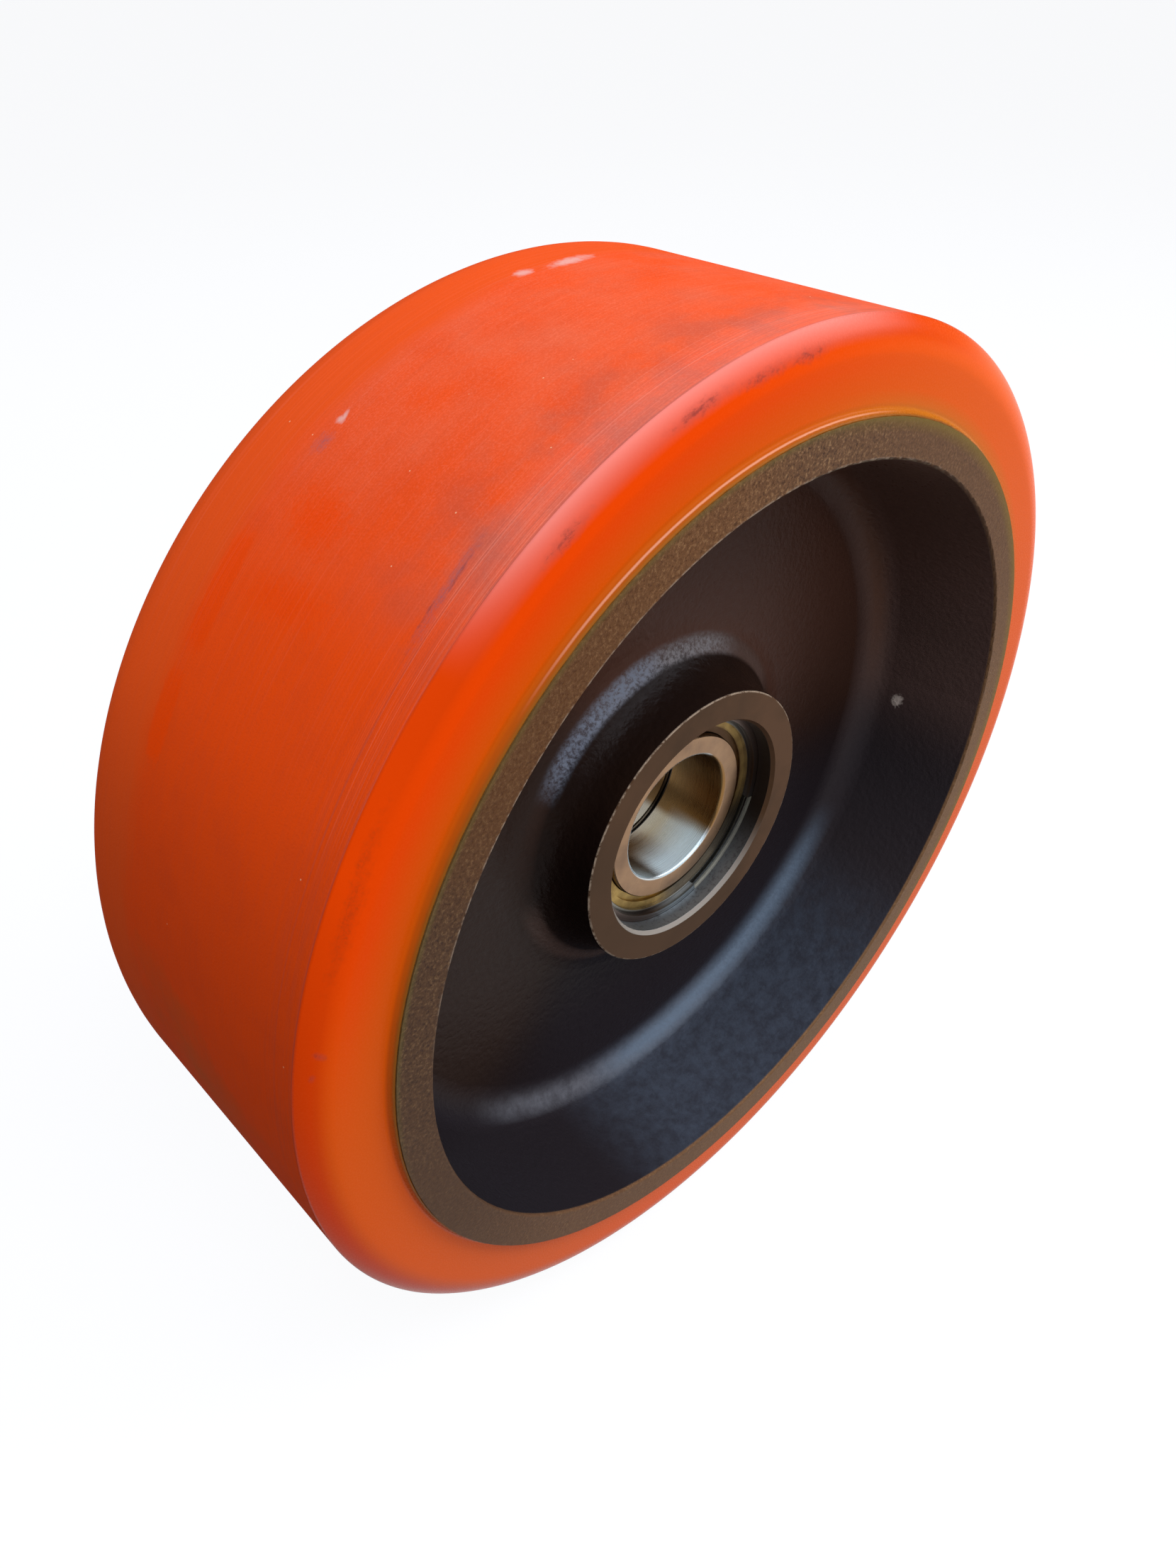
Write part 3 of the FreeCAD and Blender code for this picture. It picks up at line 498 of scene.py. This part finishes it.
ringLook = {
    "paintedLightCover": 0.65,
    "tones": {"ground": "9e7c5c", "film": "7c6049", "boreMouth": "d4dcdc", "boreWarm": "c2b294", "boreReflectionDark": "8a683f",
              "boreLight": "c4d2d2", "jointSoot": "1e1813", "outerPale": "8a867c", "outerDark": "3c3832"},
    "clouds": {"cloud": (0.12, 4.0, 0.5)},  # oil film, 8 mm
    "lines": {"grindLine": ("along", 1.5, 4.0, 2.0, 0.5),  # grinding lines, 0.25 mm
              "turnedRing": ("radius", 0.6, 1.6, 3.0, 0.5)},  # turned faces, 0.6 mm
    "sums": {"waver": ("cloud", 6.0, "out")},
    "spans": {"deep": ("waver", 21.0, 10.0), "inBore": ("radius", 20.9, 20.6), "joint": ("out", 1.15, 0.9),
              "onOuter": ("radius", 27.5, 28.5), "mouth": ("out", 5.0, 16.0),
              "rough": ("grindLine", 0.3, 0.7, 0.22, 0.36)},
    "sectors": {"reflectionRight": (0, 46, 55), "reflectionLeft": (-140, 30, 58), "lightFoot": (-76, 20, 38)},
    "both": {"boreLit": ("mouth", "lightFoot", "inBore")},
    "ramp": [(0.35, "ground"), (0.75, "film")],
    "outerRamp": [(0.42, "outerDark"), (0.6, "outerPale")],
    # the bore: bright at its mouth, warmer inside, darker at two sides, a painted reflection, paler low at its mouth,
    # painted light, and soot in the joint of the two rings
    "boreLayers": [("boreWarm", "deep"), ("boreReflectionDark", "reflectionRight"), ("boreReflectionDark", "reflectionLeft", "deep")],
    "layers": [("bore", "inBore"), ("jointSoot", "joint", 0.95), ("outer", "onOuter"), ("boreLight", "boreLit")],
}


# ground bearing steel under a thin film of old oil: fine circular grinding lines, tan where the film is thick
def groundBearingSteel():
    material, tree = newMaterial("groundBearingSteel")
    look, tones = ringLook, dict(ringLook["tones"])
    shares = wheelShares(tree, look)
    tones["bore"] = paintOver(tree, tones["boreMouth"], look["boreLayers"], tones, shares)
    stops = [(place, tones[name]) for place, name in look["outerRamp"]]
    tones["outer"] = addNode(tree, "ValToRGB", {"Fac": shares["turnedRing"]}, stops)
    tone = addNode(tree, "ValToRGB", {"Fac": shares["cloud"]}, [(place, tones[name]) for place, name in look["ramp"]])
    tone = paintOver(tree, tone, look["layers"], tones, shares)
    metal = addNode(tree, "Math", {0: shares["boreLit"], 1: -look["paintedLightCover"], 2: 1.0}, operation="MULTIPLY_ADD")
    finishMaterial(tree, {"Base Color": tone, "Roughness": shares["rough"], "Metallic": metal})  # less metal where the bore is painted light
    return material


# pressed steel sheet with yellow zinc plating: golden and a little cloudy, browner on its inner dish towards the top,
# and greyer below, a painted dark reflection
shieldLook = {
    "tones": {"bright": "b39454", "dull": "7a6034", "dishBrown": "4c3221", "reflectionGrey": "574e40"},
    "clouds": {"cloud": (0.2, 4.0, 0.5)},  # 5 mm
    "spans": {"dish": ("radius", 29.3, 28.4, 0.25, 0.9), "rough": ("cloud", 0.3, 0.7, 0.3, 0.45)},
    "sectors": {"greyFoot": (-58, 26, 48), "brownTop": (60, 60, 110)},
    "layers": [("reflectionGrey", "greyFoot"), ("dishBrown", "dish", "brownTop")],
}

# spring steel, rolled to wire: lines round the ring, brown where oil has dried
springLook = {
    "tones": {"bright": "969b9d", "dull": "5a5a57", "oil": "50382a"},
    "lines": {"cloud": ("radius", 1.5, 2.4, 4.0, 0.5)},  # rolling lines, 0.4 mm
    "spans": {"rough": ("cloud", 0.3, 0.7, 0.28, 0.4)},
    "sectors": {"oilTop": (60, 60, 95), "oilFoot": (-136, 20, 44)},
    "layers": [("oil", "oilTop", 0.85), ("oil", "oilFoot", 0.85)],
}

# ball steel, lapped: a mirror with a faint cloud of oil
ballLook = {
    "tones": {"bright": "c9c4bc", "dull": "aaa59d"}, "clouds": {"cloud": (0.3, 4.0, 0.5)},  # 3 mm
    "spans": {"rough": ("cloud", 0.3, 0.7, 0.08, 0.16)}, "layers": [],
}

# cage steel, pressed from strip: dull and a little cloudy
cageLook = {
    "tones": {"bright": "a39b90", "dull": "7d766c"}, "clouds": {"cloud": (0.3, 4.0, 0.5)},  # 3 mm
    "spans": {"rough": ("cloud", 0.3, 0.7, 0.3, 0.45)}, "layers": [],
}
steelRamp = [(0.35, "bright"), (0.7, "dull")]


def cloudedSteel(name, look):
    material, tree = newMaterial(name)
    tones, shares = look["tones"], wheelShares(tree, look)
    tone = addNode(tree, "ValToRGB", {"Fac": shares["cloud"]}, [(place, tones[tint]) for place, tint in steelRamp])
    tone = paintOver(tree, tone, look["layers"], tones, shares)
    finishMaterial(tree, {"Base Color": tone, "Roughness": shares["rough"], "Metallic": 1.0})
    return material


addTyre()
dress(paintedCastIron(), "cast_wheel_core")
for steel, pieces in ((groundBearingSteel(), ("inner_ring", "outer_ring")),
                      (cloudedSteel("yellowZincSheet", shieldLook), ("outer_shield", "inner_shield")),
                      (cloudedSteel("springSteel", springLook), ("snap_ring",)),
                      (cloudedSteel("polishedBallSteel", ballLook), ("balls",)),
                      (cloudedSteel("pressedCageSteel", cageLook),
                       ("cage_outer_half", "cage_inner_half", "cage_rivets"))):
    dress(steel, *(side + "_" + piece for side in sides for piece in pieces))
print("finishes on:", len(bpy.data.materials), "materials")

cameraLook = {"positionMm": (-189.4, -179.7, 210.0), "aimMm": (-8.03, 8.17, 0.16), "lensMm": 25.67, "sensorMm": 36.0,
              "clipStartM": 0.01}
studio = {"floorSizeM": 40.0, "floorSeen": "ffffff", "backdrop": "f9fafc", "floorBounce": "4c443d", "whiteShare": 0.9,
          "skyTop": "d2dfff", "skyEdge": "5f5650", "skyLevel": 0.83, "skyRise": (0.1, 0.9),
          "panels": {"keyPanel": {"atM": (0.06, -0.72, 1.08), "sizeM": (1.4, 0.6), "watt": 11.8, "tone": "f2f6ff"},
                     "frontPanel": {"atM": (0.17, -1.21, 0.44), "sizeM": (0.5, 0.3), "watt": 4.6, "tone": "eef4ff"},
                     "rightPanel": {"atM": (0.92, -0.58, 0.71), "sizeM": (0.7, 0.7), "watt": 7.5, "tone": "f2f6ff"},
                     "leftPanel": {"atM": (-0.85, -0.1, 1.0), "sizeM": (1.2, 1.0), "watt": 4.3, "tone": "f4f6ff"},
                     "backPanel": {"atM": (0.2, 1.0, 0.85), "sizeM": (2.0, 0.8), "watt": 4.0, "tone": "dbe8ff"}}}


def addCamera():
    data = bpy.data.cameras.new("camera")
    data.lens = cameraLook["lensMm"]
    data.sensor_width = cameraLook["sensorMm"]
    data.clip_start = cameraLook["clipStartM"]
    camera = bpy.data.objects.new("camera", data)
    position = Vector(cameraLook["positionMm"]) * mm
    aim = Vector(cameraLook["aimMm"]) * mm
    camera.location = position
    camera.rotation_mode = "QUATERNION"
    camera.rotation_quaternion = (aim - position).to_track_quat("-Z", "Y")
    bpy.context.scene.collection.objects.link(camera)
    bpy.context.scene.camera = camera


def backdropShare(tree):  # 1 for rays from the camera and off gloss or through glass, which see a white backdrop
    rays = addNode(tree, "LightPath").outputs
    seen = addNode(tree, "Math", {0: rays["Is Camera Ray"], 1: rays["Is Glossy Ray"]}, operation="MAXIMUM")
    return addNode(tree, "Math", {0: seen, 1: rays["Is Transmission Ray"]}, operation="MAXIMUM")


def addFloor():
    half = studio["floorSizeM"] / 2
    floorZ = cadLow.z
    mesh = bpy.data.meshes.new("floor")
    corners = [(-half, -half, floorZ), (half, -half, floorZ), (half, half, floorZ), (-half, half, floorZ)]
    mesh.from_pydata(corners, [], [(0, 1, 2, 3)])
    floor = bpy.data.objects.new("floor", mesh)
    bpy.context.scene.collection.objects.link(floor)
    material, tree = newMaterial("paleStudioFloor")
    seen = backdropShare(tree)
    share = addNode(tree, "Math", {0: seen, 1: studio["whiteShare"]}, operation="MULTIPLY")
    tone = addNode(tree, "Mix", {0: seen, 6: studio["floorBounce"], 7: studio["floorSeen"]}, data_type="RGBA")
    paint = addNode(tree, "BsdfDiffuse", {"Color": tone})
    white = addNode(tree, "Emission", {"Color": studio["floorSeen"], "Strength": 1.0})
    mixed = addNode(tree, "MixShader", {0: share, 1: paint, 2: white})
    addNode(tree, "OutputMaterial", {"Surface": mixed})
    mesh.materials.append(material)


def addLight():
    world = bpy.data.worlds.new("softStudio")
    world.use_nodes = True
    tree = world.node_tree
    tree.nodes.clear()
    place = addNode(tree, "TexCoord")
    rise = addNode(tree, "SeparateXYZ", {0: place.outputs["Generated"]})
    edge, top = studio["skyRise"]
    rise = addNode(tree, "MapRange", {"Value": rise.outputs["Z"], "From Min": edge, "From Max": top})
    tone = addNode(tree, "Mix", {0: rise, 6: studio["skyEdge"], 7: studio["skyTop"]}, data_type="RGBA")
    sky = addNode(tree, "Background", {"Color": tone, "Strength": studio["skyLevel"]})
    white = addNode(tree, "Background", {"Color": studio["backdrop"], "Strength": 1.0})
    seen = addNode(tree, "LightPath").outputs["Is Camera Ray"]
    mixed = addNode(tree, "MixShader", {0: seen, 1: sky, 2: white})
    addNode(tree, "OutputWorld", {"Surface": mixed})
    bpy.context.scene.world = world
    for name, look in studio["panels"].items():
        data = bpy.data.lights.new(name, "AREA")
        data.shape = "RECTANGLE"
        data.size, data.size_y = look["sizeM"]
        data.energy = look["watt"]
        data.color = hexLinear(look["tone"])[:3]
        panel = bpy.data.objects.new(name, data)
        panel.location = look["atM"]
        panel.rotation_mode = "QUATERNION"
        panel.rotation_quaternion = (-Vector(look["atM"])).to_track_quat("-Z", "Y")
        bpy.context.scene.collection.objects.link(panel)


addCamera()
addFloor()
addLight()
bpy.context.scene.view_settings.view_transform = "Standard"
print("scene ready")
